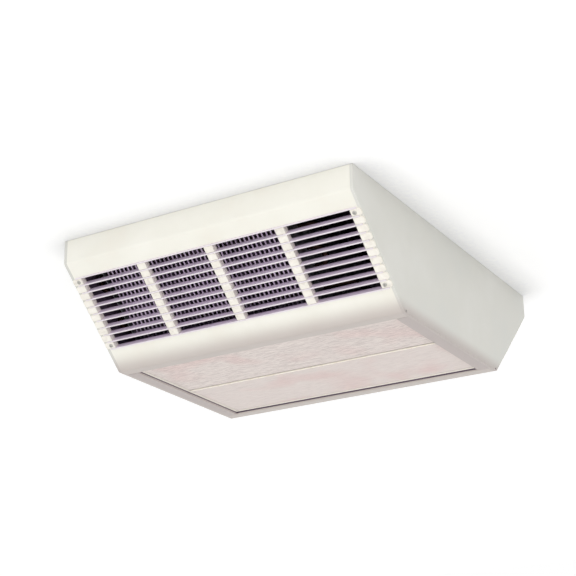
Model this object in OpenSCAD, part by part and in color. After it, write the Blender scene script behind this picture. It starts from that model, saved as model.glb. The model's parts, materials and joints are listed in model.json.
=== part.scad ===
// Ceiling-mounted convection heater. It draws room air up through two filters in a hinged
// inlet door, and two plug fans push it through finned hot-water coils and out of slotted
// grilles in the slanted front and rear faces.
// Origin: middle of the four ceiling fixings, on the ceiling plane. X runs along the slots,
// the front faces -Y, and the heater hangs down from zero to -case_h.

/* [Casing] */
// Width of the heater, along its slots
case_w = 800; // [760:10:960]
// Depth from the front fascia to the rear fascia
case_d = 970; // [960:5:1010]
// Height from the ceiling down to the inlet face
case_h = 274; // [268:1:290]
// Height of the upright part of each fascia
fascia_h = 60; // [54:1:66]
// Horizontal run of each slanted face
slope_run = 228; // [215:1:235]
// Thickness of the casing sheet
sheet_t = 1.2; // [0.9:0.1:1.5]
// Outside radius of the soft bends in the fascias and end panels
bend_r = 10; // [6:1:14]
// Width of the turned edge round each end panel
end_lip = 8; // [6:0.5:9]
// Radius of the relief hole in each lower corner of an end panel
relief_r = 2.5; // [1.5:0.5:3.5]
// Depth of the turned-down edges of the ceiling tray
tray_lip = 24; // [16:1:26]
// Leg length of the angle brackets inside the top corners
bracket_leg = 25; // [18:1:30]
// Width of the flat strip between a fascia's lower bend and the inlet opening
fascia_border = 30; // [26:1:34]
// Width of the flat strip at each side of the inlet opening
side_border = 37; // [34:1:44]
// Height of the upturned edge of a fascia at the inlet opening
border_lip = 8; // [5:0.5:10]

/* [Grilles] */
// Number of slots in each grille
slot_n = 10; // [6:1:10]
// Distance from one slot to the next
slot_pitch = 20.2; // [18:0.1:20.6]
// Distance from the lower bend to the middle of the slots, up the slope
slot_foot = 168.1; // [163:0.1:172]
// Number of slot bays across each grille
bay_n = 4; // [3:1:5]
// Width of the spacers between two bays
mullion_w = 23.2; // [18:0.2:28]
// Distance from the end of the casing to the first slot end
slot_end = 28.2; // [24:0.2:34]
// Thickness of a grille blade
blade_t = 3; // [2:0.2:4]
// Depth of a grille blade, measured square to the slope
blade_d = 18; // [14:0.5:22]
// Distance that the grille stands out from the fascia
grille_proud = 3; // [1.5:0.5:4]
// Corner radius on the front of each spacer
spacer_r = 2.5; // [1:0.5:4]
// Radius of the rounded outer ends of the grille
scallop_r = 6; // [3:0.5:8]
// Head radius of a grille screw
screw_head_r = 5; // [3.5:0.25:5.5]
// Shank radius of a grille screw
screw_r = 2; // [1.5:0.25:2.5]

/* [Coils] */
// Distance from the slope to the near face of a coil
coil_depth = 50; // [46:1:54]
// Thickness of a coil along the air flow
coil_t = 45; // [38:1:48]
// Height of a coil's uppermost tube below the ceiling
coil_drop = 61.5; // [61:0.5:68]
// Distance from the lower bend to the lower end of a coil, up the slope
coil_foot = 45; // [44:0.5:60]
// Distance from one fin to the next
fin_pitch = 12; // [8:0.5:16]
// Thickness of a fin
fin_t = 0.6; // [0.4:0.1:0.8]
// Width of the folded edge of a fin, on the grille side
fin_fold = 4; // [2:0.5:5]
// Distance from each end of a coil to its nearest tube
tube_edge = 27.5; // [24:0.5:32]
// Outside radius of a coil tube
tube_r = 8; // [6:0.5:9]
// Thickness of the coil supports and the partition
support_t = 1.5; // [1:0.1:2]
// Distance from the left end of the casing to the coil supports
support_gap = 55; // [48:1:64]
// Distance from the right end of the casing to the partition
partition_gap = 202; // [190:1:210]

/* [Fans] */
// Gap between a fan wheel and the wall beside it
wheel_side = 28; // [22:1:40]
// Height of a fan wheel
wheel_h = 74; // [60:1:78]
// Gap between the two fan wheels
wheel_gap = 42; // [30:1:50]
// Number of blades on a wheel
vane_n = 7; // [5:1:11]
// Share of a wheel's radius that its inlet takes
eye_share = 0.68; // [0.62:0.01:0.72]
// Thickness of the wheel's plates and blades
vane_t = 2; // [1.5:0.1:2.5]
// Height of the fan deck above the inlet face
deck_h = 84; // [82:0.5:88]
// Height of an inlet ring above the fan deck
ring_h = 20; // [16:1:24]
// Radial gap between an inlet ring and the wheel's eye
eye_gap = 3; // [2:0.25:4]
// Radius of the turning motor can
rotor_r = 46; // [40:1:50]
// Height of the turning motor can
rotor_h = 52; // [40:1:56]
// Radius of the motor's spindle
spindle_r = 6; // [4:0.5:8]
// Width of a motor's hanging bracket
hanger_w = 70; // [60:1:80]

/* [Pipework] */
// Outside radius of the collecting pipes
pipe_r = 8; // [6:0.5:9]
// Distance from the partition to the return pipe
return_gap = 42; // [38:1:50]
// Distance from the partition to the flow pipe
flow_gap = 77; // [72:1:86]
// Distance of each riser from the middle of the heater
riser_y = 60; // [50:1:70]
// Body radius of an isolating valve
valve_r = 13; // [11:0.5:14]
// Length of an isolating valve
valve_l = 30; // [26:1:30]
// Length of a valve lever
lever_l = 55; // [40:1:60]
// Radius of the socket that takes a supply pipe
socket_r = 7.6; // [6:0.1:8]
// Depth of the socket that takes a supply pipe
socket_l = 16; // [12:1:18]

/* [Controls] */
// Length of the control box along the partition
box_l = 150; // [120:5:160]
// Height of the control box
box_h = 58; // [50:1:60]
// Depth of the control box out from the partition
box_d = 50; // [44:1:52]
// Radius of the bore in the cable gland
gland_bore = 6; // [4:0.5:7]

/* [Inlet door] */
// Gap round the door, except at its hinged edge
door_gap = 1; // [0.5:0.25:1.5]
// Gap at the hinged edge of the door
hinge_gap = 5; // [4:0.5:6]
// Depth that the door lies above the inlet face
door_recess = 6; // [4:0.5:8]
// Height of the door's walls
door_wall = 14; // [12:0.5:16]
// Width of the lips that carry the filters
door_lip = 5; // [4:0.5:7]
// Width of the bar between the two filters
bar_w = 4; // [3:0.5:6]
// Thickness of a filter pad
filter_t = 9; // [6:0.5:10]
// Radius of a door pivot
pivot_r = 2; // [1.5:0.25:2.25]
// Wire radius of the grid that holds the filters down
wire_r = 1; // [0.75:0.25:1.25]
// Largest distance between two wires of the grid
wire_pitch = 60; // [40:5:80]

/* [Ceiling fixings] */
// Distance from each end of the casing to its ceiling fixings
bolt_in_x = 50; // [40:1:60]
// Distance from each fascia to its ceiling fixings
bolt_in_y = 205; // [195:1:215]
// Radius of a ceiling fixing hole
bolt_r = 4.5; // [3:0.5:6]

/* [Hidden] */
$fn = 48;

// One overrun for every cut
cut = 1;
// Clearance between parts that lie close without touching
clear = 0.3;
// Radial clearance of a running fit
run_fit = 0.05;
// Steps in a bend's arc
bend_steps = 8;

// The slope: its run, drop, length and angle
base_d = case_d - 2 * slope_run;
slope_drop = case_h - fascia_h;
slope_l = norm([slope_run, slope_drop]);
slope_a = atan2(slope_drop, slope_run);
slope_dir = [cos(slope_a), -sin(slope_a)];
inner_w = case_w - 2 * sheet_t;
fascia_w = case_w - 2 * end_lip;
border_y = base_d / 2 - fascia_border;
opening_x = case_w / 2 - side_border;
bolt_x = case_w - 2 * bolt_in_x;
bolt_y = case_d - 2 * bolt_in_y;

// The grille
pitch_n = slot_n / 2;
slot_mid = slope_l - slot_foot;
slot_h = slot_pitch - blade_t;
bank_w = case_w - 2 * slot_end;
bay_w = (bank_w - (bay_n - 1) * mullion_w) / bay_n;
grille_rim = 12;
grille_w = case_w - 2 * grille_rim;
spacer_edge = 1.5;
screw_x = bank_w / 2 + (slot_end - grille_rim) / 2 + spacer_edge;
screw_head_t = 2.6;
screw_shank = 9;
recess_w = 1.4;
recess_share = 0.62;
head_round_share = 0.55;

// The coils, in the slope's frame, and the walls that carry them
left_x = -case_w / 2 + support_gap;
partition_x = case_w / 2 - partition_gap;
tube_n = 4;
tube_depth = coil_depth + coil_t / 2;
tube_first = (coil_drop - fascia_h + tube_depth * cos(slope_a)) / sin(slope_a);
coil_top = tube_first - tube_edge;
pitch_step = 0.1;
tube_room = slope_l - coil_foot - coil_top - 2 * tube_edge;
tube_pitch = pitch_step * floor(tube_room / (tube_n - 1) / pitch_step);
coil_l = 2 * tube_edge + (tube_n - 1) * tube_pitch;
coil_bottom = coil_top + coil_l;
tube_end = 8;
tube_wall = 1;
fin_edge = 8;
fin_span = partition_x - left_x - 2 * fin_edge;
fin_n = floor(fin_span / fin_pitch);
fin_first = (left_x + partition_x - fin_n * fin_pitch) / 2;
wall_gap = 22;
wall_top = 40;

// The fans
deck_z = -case_h + deck_h;
deck_foot = 38;
deck_seal = slope_l - deck_foot;
fan_w = case_w - partition_gap;
fan_mid = (partition_x - case_w / 2) / 2;
wheel_r = (fan_w - wheel_gap - 2 * wheel_side) / 4;
eye_r = wheel_r * eye_share;
fan_step = wheel_r + wheel_gap / 2;
eye_lap = 6;
wheel_z = deck_z + ring_h - eye_lap;
back_z = wheel_z + wheel_h;
ring_t = 1;
neck_r = eye_r - eye_gap - ring_t;
ring_flare = 14;
ring_flange = 10;
flare_share = 0.8;
shroud_rise = 16;
vane_gap = 14;
vane_turn = 38;
rotor_wall = 4;
rotor_rim = 6;
rotor_rim_t = 2;
stator_gap = 2;
stator_t = 6;
stator_lift = 4;
hanger_z = back_z + rotor_rim_t + stator_lift + stator_t;
core_r = rotor_r - rotor_wall - stator_gap;
core_z = back_z - rotor_h + 2 * rotor_wall + stator_gap - hanger_z;
spindle_z = core_z - 2 * rotor_wall - stator_gap;
hanger_t = 2;
hanger_foot = 22;
hanger_over = 30;
motor_screw_r = 2;
motor_screw_head = 3.6;
motor_screw_n = 4;
motor_screw_share = 0.8;

// The pipework
return_x = partition_x + return_gap;
flow_x = partition_x + flow_gap;
valve_top = -22;
elbow_r = 16;
riser_step = 0.8;
socket_wall = 4.4;
lever_w = 10;
lever_t = 3;
stem_r = 4;
stem_l = 5;
grommet_wall = 4;
grommet_lip = 3;
grommet_t = 2;
vent_r = 5;
vent_l = 15;
vent_y = -200;
vent_cap_share = 0.3;
clip_w = 16;
clip_t = 2;
stat_size = [26, 30, 14];
stat_y = 150;

// The controls
box_x = partition_x + support_t;
box_y = 80;
box_drop = 15.5;
box_top = -coil_drop - pipe_r - box_drop;
box_wall = 1.2;
capacitor_r = 12;
capacitor_l = 50;
capacitor_gap = 10;
terminal_size = [16, 100, 12];
terminal_lift = 6;
terminal_n = 8;
terminal_slot = 2;
cover_screw_r = 3;
cover_screw_t = 1.8;
cover_inset = 8;
post_share = 0.75;
gland_in = 70;
gland_x = case_w / 2 - gland_in;
gland_y = 160;
gland_wall = 3.8;
gland_flange = 4;
gland_flange_t = 4;
gland_l = 22;

// The inlet door
rail_lip = 20;
door_x = opening_x - door_gap;
door_front = -border_y + door_gap;
door_rear = border_y - hinge_gap;
door_z = -case_h + door_recess;
bar_mid = -10;
bar_h = 8;
pivot_in = 4;
pivot_up = 5;
pivot_y = door_rear - pivot_in;
pivot_z = door_z + pivot_up;
pivot_l = 7;
weld_share = 0.9;
keeper_size = [16, 24, 1];
keeper_in = 30;
keeper_y = door_front + keeper_in;
magnet_t = 8;
magnet_leg = 14;

// Left normal of a direction
function left_of(v) = [-v[1], v[0]];
// Points of a bend at corner p, between directions a and b, at distance t inside the outline
function bend(p, a, b, r, t) =
    let (na = left_of(a), nb = left_of(b))
    let (turn = atan2(a[0] * b[1] - a[1] * b[0], a * b), start = atan2(na[1], na[0]))
    let (middle = p + r * (na + nb) / (1 + na * nb))
    [for (i = [0:bend_steps]) let (g = start + turn * i / bend_steps)
        middle - (r - t) * [cos(g), sin(g)]];
// Points of a list, last to first
function reversed(p) = [for (i = [len(p) - 1:-1:0]) p[i]];
// A point of the front section from its distance down the slope and its depth behind it
function slope_pt(s, d) = [-case_d / 2 + s * cos(slope_a) + d * sin(slope_a),
    -fascia_h - s * sin(slope_a) + d * cos(slope_a)];
// The same point on the rear half
function rear_pt(s, d) = [-slope_pt(s, d)[0], slope_pt(s, d)[1]];
// Corner of the fan deck above its skirt, at distance t below the deck's upper face
function deck_corner(t) = slope_pt(deck_seal + t,
    (deck_z - t + fascia_h + (deck_seal + t) * sin(slope_a)) / cos(slope_a));
// Points of the front half of the deck's section, at distance t below its upper face
function deck_edge(t) = [slope_pt(deck_seal + t, sheet_t + clear), deck_corner(t)];

// Stretches a section drawn in depth and height along the width, centred
module along_width(w) {
    rotate([90, 0, 90])
        linear_extrude(w, center = true)
            children();
}
// Lays children on the front slope: y runs down it and z runs in behind it
module on_slope() {
    translate([0, -case_d / 2, -fascia_h])
        rotate([-slope_a, 0, 0])
            children();
}
// The same shape for the rear half
module rear() {
    mirror([0, 1, 0])
        children();
}
// A box given by its lower corner and upper corner
module span(a, b) {
    translate(a)
        cube(b - a);
}
// A rod along X from x0 to x1
module rod_x(r, x0, x1) {
    translate([x0, 0, 0])
        rotate([0, 90, 0])
            cylinder(r = r, h = x1 - x0);
}
// A rod along Y from y0 to y1
module rod_y(r, y0, y1) {
    translate([0, y0, 0])
        rotate([-90, 0, 0])
            cylinder(r = r, h = y1 - y0);
}
// A pan head with a cross recess, its seat at zero and its top at -t
module pan_head(r, t) {
    rise = r * head_round_share;
    difference() {
        rotate_extrude()
            polygon(concat([[0, 0], [r, 0]],
                [for (i = [0:bend_steps]) let (g = 90 * i / bend_steps)
                    [r - rise + rise * cos(g), -t * (1 - head_round_share) - t * head_round_share * sin(g)]],
                [[0, -t]]));
        for (a = [0, 90])
            rotate(a)
                translate([-r * recess_share, -recess_w / 2, -t - cut])
                    cube([2 * r * recess_share, recess_w, cut + t * head_round_share]);
    }
}

// Folded backplate against the ceiling, with the fixing holes and the pipe and cable entries
module ceiling_tray() {
    color("gainsboro")
        difference() {
            span([-inner_w / 2, -case_d / 2 + sheet_t, -tray_lip], [inner_w / 2, case_d / 2 - sheet_t, 0]);
            span([-inner_w / 2 + sheet_t, -case_d / 2 + 2 * sheet_t, -tray_lip - cut],
                [inner_w / 2 - sheet_t, case_d / 2 - 2 * sheet_t, -sheet_t]);
            for (x = [-1, 1], y = [-1, 1])
                translate([x * bolt_x / 2, y * bolt_y / 2, -sheet_t - cut])
                    cylinder(r = bolt_r, h = sheet_t + 2 * cut);
            for (p = [[flow_x, -riser_y], [return_x, riser_y]])
                translate([p[0], p[1], -sheet_t - cut])
                    cylinder(r = socket_r + socket_wall + grommet_wall, h = sheet_t + 2 * cut);
            translate([gland_x, gland_y, -sheet_t - cut])
                cylinder(r = gland_bore + gland_wall, h = sheet_t + 2 * cut);
        }
}

// One fascia, with the opening for its grille
module fascia() {
    color("ivory")
        difference() {
            along_width(fascia_w)
                polygon(concat(casing_edge(0), reversed(casing_edge(sheet_t))));
            on_slope()
                span([-grille_w / 2, slot_mid - slot_pitch * pitch_n - blade_t / 2, -cut],
                    [grille_w / 2, slot_mid + slot_pitch * pitch_n + blade_t / 2, bend_r]);
        }
}
// Edge of a fascia from the ceiling to the upturned edge, at distance t inside
function casing_edge(t) = concat([[-case_d / 2 + t, 0]],
    bend([-case_d / 2, -fascia_h], [0, -1], slope_dir, bend_r, t),
    bend([-base_d / 2, -case_h], slope_dir, [1, 0], bend_r, t),
    bend([-border_y, -case_h], [1, 0], [0, 1], 2 * sheet_t, t),
    [[-border_y - t, -case_h + border_lip]]);
module front_fascia() {
    fascia();
}
module rear_fascia() {
    rear() fascia();
}

// Outline of an end panel, with its four lower bends
function panel_half(t) = concat([[-case_d / 2 + t, 0]],
    bend([-case_d / 2, -fascia_h], [0, -1], slope_dir, bend_r, t),
    bend([-base_d / 2, -case_h], slope_dir, [1, 0], bend_r, t));
function panel_edge(t) = concat(panel_half(t), reversed([for (p = panel_half(t)) [-p[0], p[1]]]));
// The left end panel: a flat sheet with a turned edge along all sides but the top
module end_panel() {
    color("lightgray")
        difference() {
            union() {
                translate([-case_w / 2 + sheet_t / 2, 0, 0])
                    along_width(sheet_t)
                        polygon(panel_edge(0));
                translate([-case_w / 2 + end_lip / 2, 0, 0])
                    along_width(end_lip)
                        polygon(concat(panel_edge(0), reversed(panel_edge(sheet_t))));
            }
            for (y = [-1, 1])
                translate([0, y * (base_d / 2 - bend_r / 2), -case_h + bend_r / 2])
                    rod_x(relief_r, -case_w / 2 - cut, -case_w / 2 + sheet_t + cut);
        }
}
module left_end_panel() {
    end_panel();
}
module right_end_panel() {
    mirror([1, 0, 0]) end_panel();
}

// Folded strips at both sides of the inlet opening, drilled for the door's pivots
module side_rails() {
    color("ivory")
        for (m = [0, 1])
            mirror([m, 0, 0])
                difference() {
                    union() {
                        span([opening_x, -border_y, -case_h],
                            [case_w / 2 - end_lip, border_y, -case_h + sheet_t]);
                        span([opening_x, -border_y, -case_h],
                            [opening_x + sheet_t, border_y, -case_h + rail_lip]);
                    }
                    translate([0, pivot_y, pivot_z])
                        rod_x(pivot_r + run_fit, opening_x - cut, opening_x + sheet_t + cut);
                }
}

// Angle brackets that join the fascias to the end panels inside the top corners
module corner_brackets() {
    color("silver")
        for (mx = [0, 1], my = [0, 1])
            mirror([mx, 0, 0])
                mirror([0, my, 0])
                    translate([-inner_w / 2, -case_d / 2 + sheet_t, -fascia_h + bend_r])
                        difference() {
                            cube([bracket_leg, bracket_leg, fascia_h - bend_r - tray_lip - clear]);
                            translate([support_t, support_t, -cut])
                                cube([bracket_leg, bracket_leg, fascia_h + 2 * cut]);
                        }
}

// Blades of a grille, from end to end of the opening
module grille_blades() {
    color("thistle")
        on_slope()
            for (i = [0:slot_n])
                translate([-grille_w / 2, slot_mid + (i - pitch_n) * slot_pitch - blade_t / 2, -grille_proud])
                    cube([grille_w, blade_t, blade_d]);
}
module front_grille_blades() {
    grille_blades();
}
module rear_grille_blades() {
    rear() grille_blades();
}

// A spacer between two blades, w wide, its front corners rounded, standing on z from the front
module spacer(w, d) {
    rotate([90, 0, 90])
        linear_extrude(w)
            polygon(concat([[slot_h / 2, d], [-slot_h / 2, d]],
                [for (i = [0:bend_steps]) let (g = 180 + 90 * i / bend_steps)
                    [-slot_h / 2 + spacer_r + spacer_r * cos(g), spacer_r + spacer_r * sin(g)]],
                [for (i = [0:bend_steps]) let (g = 270 + 90 * i / bend_steps)
                    [slot_h / 2 - spacer_r + spacer_r * cos(g), spacer_r + spacer_r * sin(g)]]));
}
// An end spacer from x = 0 to its rounded end at x = w, lapping over the fascia from x = lap on
module end_spacer(w, lap) {
    intersection() {
        union() {
            spacer(lap, blade_d - spacer_edge);
            spacer(w, grille_proud);
        }
        linear_extrude(blade_d)
            union() {
                translate([0, -slot_h / 2])
                    square([w - scallop_r, slot_h]);
                translate([w - scallop_r, -slot_h / 2 + scallop_r])
                    square([scallop_r, slot_h - 2 * scallop_r]);
                for (y = [-1, 1])
                    translate([w - scallop_r, y * (slot_h / 2 - scallop_r)])
                        circle(r = scallop_r);
            }
    }
}
// All spacers of a grille, drilled for its four screws
module grille_spacers() {
    color("ivory")
        on_slope()
            for (i = [0:slot_n - 1])
                translate([0, slot_mid + (i + 1 / 2 - pitch_n) * slot_pitch, -grille_proud]) {
                    for (k = [1:bay_n - 1])
                        translate([-bank_w / 2 + k * bay_w + (k - 1) * mullion_w, 0, 0])
                            spacer(mullion_w, blade_d - spacer_edge);
                    for (m = [0, 1])
                        mirror([m, 0, 0])
                            difference() {
                                translate([bank_w / 2, 0, 0])
                                    end_spacer(slot_end - spacer_edge, slot_end - grille_rim);
                                if (i == 0 || i == slot_n - 1)
                                    translate([screw_x, 0, -cut])
                                        cylinder(r = screw_r, h = screw_shank + cut);
                            }
                }
}
module front_grille_spacers() {
    grille_spacers();
}
module rear_grille_spacers() {
    rear() grille_spacers();
}

// Screws that hold a grille at its four corners
module grille_screws() {
    color("gray")
        on_slope()
            for (i = [0, slot_n - 1], m = [0, 1])
                mirror([m, 0, 0])
                    translate([screw_x, slot_mid + (i + 1 / 2 - pitch_n) * slot_pitch, -grille_proud]) {
                        pan_head(screw_head_r, screw_head_t);
                        cylinder(r = screw_r, h = screw_shank);
                    }
}
module front_grille_screws() {
    grille_screws();
}
module rear_grille_screws() {
    rear() grille_screws();
}

// Middles of the coil tubes, as distances down the slope
tube_places = [for (i = [0:tube_n - 1]) tube_first + i * tube_pitch];
// Places children at each coil tube, on the slope
module at_tubes() {
    on_slope()
        for (s = tube_places)
            translate([0, s, tube_depth])
                children();
}
// Fins of a coil, each with a folded edge towards the grille
module coil_fins() {
    color("thistle")
        on_slope()
            for (i = [0:fin_n])
                translate([fin_first + i * fin_pitch - fin_t / 2, coil_top, coil_depth])
                    difference() {
                        union() {
                            cube([fin_t, coil_l, coil_t]);
                            cube([fin_fold, coil_l, fin_t]);
                        }
                        for (s = tube_places)
                            translate([0, s - coil_top, coil_t / 2])
                                rod_x(tube_r, -cut, fin_t + cut);
                    }
}
module front_coil_fins() {
    coil_fins();
}
module rear_coil_fins() {
    rear() coil_fins();
}

// Half a ring of radius r that joins tube i to the next, bulging left (-1) or right (1)
module return_bend(i, x, side, r) {
    translate([x, i * tube_pitch + tube_pitch / 2, 0])
        rotate(-90 * side)
            rotate_extrude(angle = 180)
                translate([tube_pitch / 2, 0])
                    circle(r = r);
}
// Solid winding of a coil with tube radius r, its open ends longer by extra
module winding(r, extra) {
    left = left_x - tube_end;
    right = partition_x + support_t + tube_end;
    for (i = [0:tube_n - 1])
        translate([0, i * tube_pitch, 0])
            rod_x(r, left, right + (i == 0 || i == tube_n - 1 ? extra : 0));
    return_bend(0, left, -1, r);
    return_bend(1, right, 1, r);
    return_bend(2, left, -1, r);
}
// Tubes of a coil, joined into one winding by return bends
module coil_tubes() {
    color("peru")
        on_slope()
            translate([0, tube_first, tube_depth])
                difference() {
                    winding(tube_r, 0);
                    winding(tube_r - tube_wall, cut);
                }
}
module front_coil_tubes() {
    coil_tubes();
}
module rear_coil_tubes() {
    rear() coil_tubes();
}

// Section of a coil support: the coil's own section, carried up to the tray
module support_section() {
    polygon([slope_pt(coil_top, coil_depth) , [slope_pt(coil_top, coil_depth)[0], -sheet_t],
        [slope_pt(coil_top, coil_depth + coil_t)[0] + coil_t / 2, -sheet_t],
        slope_pt(coil_bottom, coil_depth + coil_t), slope_pt(coil_bottom, coil_depth)]);
}
// Plates that carry the left ends of both coils
module coil_supports() {
    color("silver")
        for (m = [0, 1])
            mirror([0, m, 0])
                difference() {
                    translate([left_x - support_t / 2, 0, 0])
                        along_width(support_t)
                            support_section();
                    at_tubes()
                        rod_x(tube_r, left_x - support_t - cut, left_x + cut);
                }
}
// Wall between the air chamber and the pipe and control compartment
module partition() {
    color("silver")
        difference() {
            translate([partition_x + support_t / 2, 0, 0])
                along_width(support_t)
                    polygon([[-case_d / 2 + wall_top, -sheet_t], slope_pt(wall_gap / 2, wall_gap),
                        slope_pt(coil_bottom, wall_gap), deck_corner(0) + [0, clear],
                        [-deck_corner(0)[0], deck_z + clear], rear_pt(coil_bottom, wall_gap),
                        rear_pt(wall_gap / 2, wall_gap), [case_d / 2 - wall_top, -sheet_t]]);
            for (m = [0, 1])
                mirror([0, m, 0])
                    at_tubes()
                        rod_x(tube_r, partition_x - cut, partition_x + support_t + cut);
        }
}

// Places children at both fan axes
module at_fans() {
    for (x = [-1, 1])
        translate([fan_mid + x * fan_step, 0, 0])
            children();
}
// Bent plate under the fans, its skirts square to the fascias below the grilles
module fan_deck() {
    below = deck_edge(sheet_t);
    above = deck_edge(0);
    color("gainsboro")
        difference() {
            along_width(inner_w)
                polygon(concat(below, [for (p = reversed(below)) [-p[0], p[1]]],
                    [for (p = above) [-p[0], p[1]]], reversed(above)));
            at_fans()
                translate([0, 0, deck_z - deck_h])
                    cylinder(r = neck_r + ring_flare, h = 2 * deck_h);
        }
}
// Flared rings that guide air from the deck into the wheels
module inlet_rings() {
    color("silver")
        at_fans()
            translate([0, 0, deck_z])
                rotate_extrude()
                    polygon(concat(flare_curve(0),
                        [[neck_r, ring_h], [neck_r + ring_t, ring_h]],
                        reversed(flare_curve(ring_t)),
                        [[neck_r + ring_flare + ring_flange, ring_t],
                            [neck_r + ring_flare + ring_flange, 0]]));
}
// Curve of an inlet ring from the deck up to its neck, moved out by t
function flare_curve(t) = [for (i = [0:bend_steps]) let (g = 90 * i / bend_steps)
    [neck_r + ring_flare * (1 - sin(g)) + t, ring_h * flare_share * (1 - cos(g)) + t]];

// Section of a wheel's passage between its eye plate and its back plate
module wheel_passage() {
    polygon([[0, eye_lap + vane_t], [eye_r, eye_lap + vane_t], [eye_r, vane_t],
        [wheel_r, shroud_rise + vane_t / 2], [wheel_r, wheel_h], [0, wheel_h]]);
}
// One curved blade of a wheel, seen along the axis
module vane() {
    inner = rotor_r + vane_gap;
    outer = wheel_r - vane_t / 2;
    side = [for (i = [0:bend_steps]) let (f = i / bend_steps) [inner + f * (outer - inner), vane_turn * f]];
    polygon(concat([for (p = side) p[0] * [cos(p[1]), sin(p[1])]],
        reversed([for (p = side) let (g = p[1] + vane_t / p[0] * 180 / PI) p[0] * [cos(g), sin(g)]])));
}
// Backward-curved fan wheel on axis x
module fan_wheel(x) {
    color("dimgray")
        translate([x, 0, wheel_z]) {
            rotate_extrude()
                polygon([[eye_r, 0], [eye_r + vane_t, 0], [wheel_r, shroud_rise],
                    [wheel_r, shroud_rise + vane_t], [eye_r, 2 * vane_t]]);
            translate([0, 0, wheel_h - vane_t])
                difference() {
                    cylinder(r = wheel_r, h = vane_t);
                    translate([0, 0, -cut])
                        cylinder(r = rotor_r, h = vane_t + 2 * cut);
                }
            intersection() {
                rotate_extrude()
                    wheel_passage();
                for (i = [0:vane_n - 1])
                    rotate(360 * i / vane_n)
                        linear_extrude(wheel_h)
                            vane();
            }
        }
}
module left_fan_wheel() {
    fan_wheel(fan_mid - fan_step);
}
module right_fan_wheel() {
    fan_wheel(fan_mid + fan_step);
}
// Turning motor can that carries a wheel, open at the top, with its bearing boss below
module rotor(x) {
    color("darkgray")
        translate([x, 0, back_z])
            rotate_extrude()
                polygon([[spindle_r + run_fit, -rotor_h], [rotor_r, -rotor_h], [rotor_r, 0],
                    [rotor_r + rotor_rim, 0], [rotor_r + rotor_rim, rotor_rim_t],
                    [rotor_r - rotor_wall, rotor_rim_t], [rotor_r - rotor_wall, -rotor_h + rotor_wall],
                    [spindle_r + rotor_wall, -rotor_h + rotor_wall],
                    [spindle_r + rotor_wall, -rotor_h + 2 * rotor_wall],
                    [spindle_r + run_fit, -rotor_h + 2 * rotor_wall]]);
}
module left_rotor() {
    rotor(fan_mid - fan_step);
}
module right_rotor() {
    rotor(fan_mid + fan_step);
}
// Places children at the screws of one motor
module at_motor_screws() {
    for (i = [0:motor_screw_n - 1])
        rotate(360 * (i + 1 / 2) / motor_screw_n)
            translate([(rotor_r + rotor_rim) * motor_screw_share, 0, 0])
                children();
}
// Fixed inner parts of the motors: mounting flange, core and spindle
module fan_stators() {
    color("silver")
        at_fans()
            translate([0, 0, hanger_z])
                difference() {
                    rotate_extrude()
                        polygon([[0, 0], [rotor_r + rotor_rim, 0], [rotor_r + rotor_rim, -stator_t],
                            [core_r, -stator_t], [core_r, core_z], [spindle_r, core_z],
                            [spindle_r, spindle_z], [0, spindle_z]]);
                    at_motor_screws()
                        translate([0, 0, -stator_t + sheet_t])
                            cylinder(r = motor_screw_r, h = stator_t);
                }
}
// Hat-shaped brackets that hang the motors from the ceiling tray
module fan_hangers() {
    leg_y = rotor_r + rotor_rim + hanger_over;
    color("silver")
        at_fans()
            difference() {
                union() {
                    span([-hanger_w / 2, -leg_y, hanger_z], [hanger_w / 2, leg_y, hanger_z + hanger_t]);
                    for (m = [0, 1])
                        mirror([0, m, 0]) {
                            span([-hanger_w / 2, leg_y - hanger_t, hanger_z],
                                [hanger_w / 2, leg_y, -sheet_t]);
                            span([-hanger_w / 2, leg_y - hanger_t, -sheet_t - hanger_t],
                                [hanger_w / 2, leg_y + hanger_foot, -sheet_t]);
                        }
                }
                translate([0, 0, hanger_z])
                    at_motor_screws()
                        translate([0, 0, -cut])
                            cylinder(r = motor_screw_r, h = hanger_t + 2 * cut);
            }
}
// Screws that fix the motor flanges to the hanging brackets
module motor_screws() {
    color("gray")
        at_fans()
            translate([0, 0, hanger_z])
                at_motor_screws() {
                    translate([0, 0, hanger_t])
                        mirror([0, 0, 1])
                            pan_head(motor_screw_head, screw_head_t);
                    translate([0, 0, -stator_t + sheet_t])
                        cylinder(r = motor_screw_r, h = stator_t - sheet_t + hanger_t);
                }
}

// Solid pipe of radius r that joins tube i of both coils at x, its open ends longer by extra
module collector(x, i, y, r, extra) {
    place = slope_pt(tube_places[i], tube_depth);
    start = partition_x + support_t + tube_end;
    translate([0, 0, place[1]]) {
        translate([x, 0, 0])
            rod_y(r, place[0] + elbow_r, -place[0] - elbow_r);
        for (m = [0, 1])
            mirror([0, m, 0]) {
                translate([0, place[0], 0])
                    rod_x(r, start - extra, x - elbow_r);
                translate([x - elbow_r, place[0] + elbow_r, 0])
                    rotate(-90)
                        rotate_extrude(angle = 90)
                            translate([elbow_r, 0])
                                circle(r = r);
            }
        translate([x, y, 0])
            cylinder(r = r - riser_step, h = valve_top - valve_l - place[1] + extra);
    }
}
// Hollow collecting pipe with a riser at y up to its valve
module collecting_pipe(x, i, y) {
    color("peru")
        difference() {
            collector(x, i, y, pipe_r, 0);
            collector(x, i, y, pipe_r - tube_wall, cut);
        }
}
module flow_pipe() {
    collecting_pipe(flow_x, tube_n - 1, -riser_y);
}
module return_pipe() {
    collecting_pipe(return_x, 0, riser_y);
}
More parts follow.
